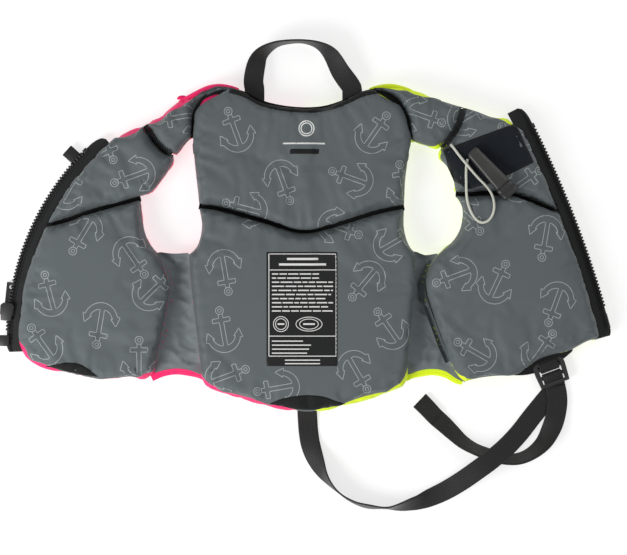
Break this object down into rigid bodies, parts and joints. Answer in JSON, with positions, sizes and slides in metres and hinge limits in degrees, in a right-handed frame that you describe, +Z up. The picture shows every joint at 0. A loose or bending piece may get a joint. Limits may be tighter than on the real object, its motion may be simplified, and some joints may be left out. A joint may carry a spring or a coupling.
{
  "type": "life jacket",
  "caption": "Child's foam life jacket lying open on its outside: back panel, folding fronts, zip, grab handle, leg strap with buckle, and whistle on a lanyard.",
  "frame": {"origin": "centre line of the back panel, on the outer cloth it lies on, at mid-height of the care label", "axes": "+X to the front that carries the whistle, +Y to the grab handle, +Z up out of the lining"},
  "size_m": [0.6187, 0.4767, 0.0433],
  "materials": {
    "foam": "soft closed-cell foam",
    "lining": "matte woven polyester",
    "shell_pink": "smooth coated cloth",
    "shell_yellow": "smooth coated cloth",
    "black_plastic": "moulded satin",
    "zip_teeth": "moulded satin",
    "zip_tape": "ribbed tape",
    "whistle_plastic": "moulded satin",
    "lanyard": "braided cord",
    "pocket_cloth": "soft loop cloth",
    "label_cloth": "printed satin",
    "black_cloth": "ribbed binding",
    "webbing": "woven webbing"
  },
  "bodies": {
    "back": {"back_shell_pink": "shell_pink", "back_shell_yellow": "shell_yellow", "back_foam_upper": "foam", "back_foam_lower": "foam", "back_liner_upper": "lining", "back_liner_lower": "lining", "back_groove_strip": "black_cloth", "neck_binding": "black_cloth", "care_label": "label_cloth", "back_strap_patch": "black_cloth", "handle_bar_tacks": "webbing", "leg_strap_back": "webbing"},
    "grab_handle": {"grab_handle": "webbing"},
    "left_front": {"left_upper_shell": "shell_pink", "left_lower_shell": "shell_pink", "left_shoulder_foam": "foam", "left_upper_foam": "foam", "left_lower_foam": "foam", "left_shoulder_liner": "lining", "left_upper_liner": "lining", "left_lower_liner": "lining", "left_groove_strip": "black_cloth", "left_side_panel": "lining", "left_side_shell": "shell_pink", "left_side_hem": "shell_pink", "left_strap_patch": "black_cloth", "left_ribbon_loop": "webbing", "left_zip_tape": "zip_tape", "left_zip_teeth": "zip_teeth", "left_zip_stop": "zip_teeth", "left_zip_box": "zip_teeth"},
    "zip_slider": {"zip_slider": "black_plastic"},
    "zip_pull": {"zip_pull": "black_plastic"},
    "right_front": {"right_upper_shell": "shell_yellow", "right_lower_shell": "shell_yellow", "right_shoulder_foam": "foam", "right_upper_foam": "foam", "right_lower_foam": "foam", "right_shoulder_liner": "lining", "right_upper_liner": "lining", "right_lower_liner": "lining", "right_groove_strip": "black_cloth", "right_side_panel": "lining", "right_side_shell": "shell_yellow", "right_side_hem": "shell_yellow", "right_strap_patch": "black_cloth", "right_zip_tape": "zip_tape", "right_zip_teeth": "zip_teeth", "right_zip_stop": "zip_teeth", "right_zip_pin": "zip_teeth", "whistle_pocket": "pocket_cloth", "leg_strap_front": "webbing", "leg_strap_tail": "webbing", "whistle_lanyard": "lanyard"},
    "strap_buckle": {"strap_buckle": "black_plastic", "strap_wrap": "webbing", "buckle_tab": "webbing"},
    "whistle": {"whistle": "whistle_plastic"}
  },
  "joints": [
    {"name": "left_front_fold", "type": "hinge", "parent": "back", "child": "left_front", "pos_m": [-0.118, 0, 0.031], "axis": [0, 1, 0], "range_deg": [0, 120]},
    {"name": "right_front_fold", "type": "hinge", "parent": "back", "child": "right_front", "pos_m": [0.112, 0, 0.031], "axis": [0, -1, 0], "range_deg": [0, 120]},
    {"name": "handle_lift", "type": "hinge", "parent": "back", "child": "grab_handle", "pos_m": [0, 0.2105, 0.014], "axis": [1, 0, 0], "range_deg": [0, 90]},
    {"name": "slider_travel", "type": "hinge", "parent": "left_front", "child": "zip_slider", "pos_m": [-0.02744, -0.04115, 0.009], "axis": [0, 0, -1], "range_deg": [-2.4, 32]},
    {"name": "pull_swing", "type": "hinge", "parent": "zip_slider", "child": "zip_pull", "pos_m": [-0.30151, -0.01216, 0.0029], "axis": [-0.9945, 0.1052, 0], "range_deg": [0, 170]},
    {"name": "buckle_lift", "type": "hinge", "parent": "right_front", "child": "strap_buckle", "pos_m": [0.24333, -0.05725, 0.0086], "axis": [-0.9397, -0.342, 0], "range_deg": [0, 60]},
    {"name": "whistle_lift", "type": "hinge", "parent": "right_front", "child": "whistle", "pos_m": [0.1655, 0.149, 0.0313], "axis": [-0.7349, -0.6782, 0], "range_deg": [0, 90]}
  ]
}
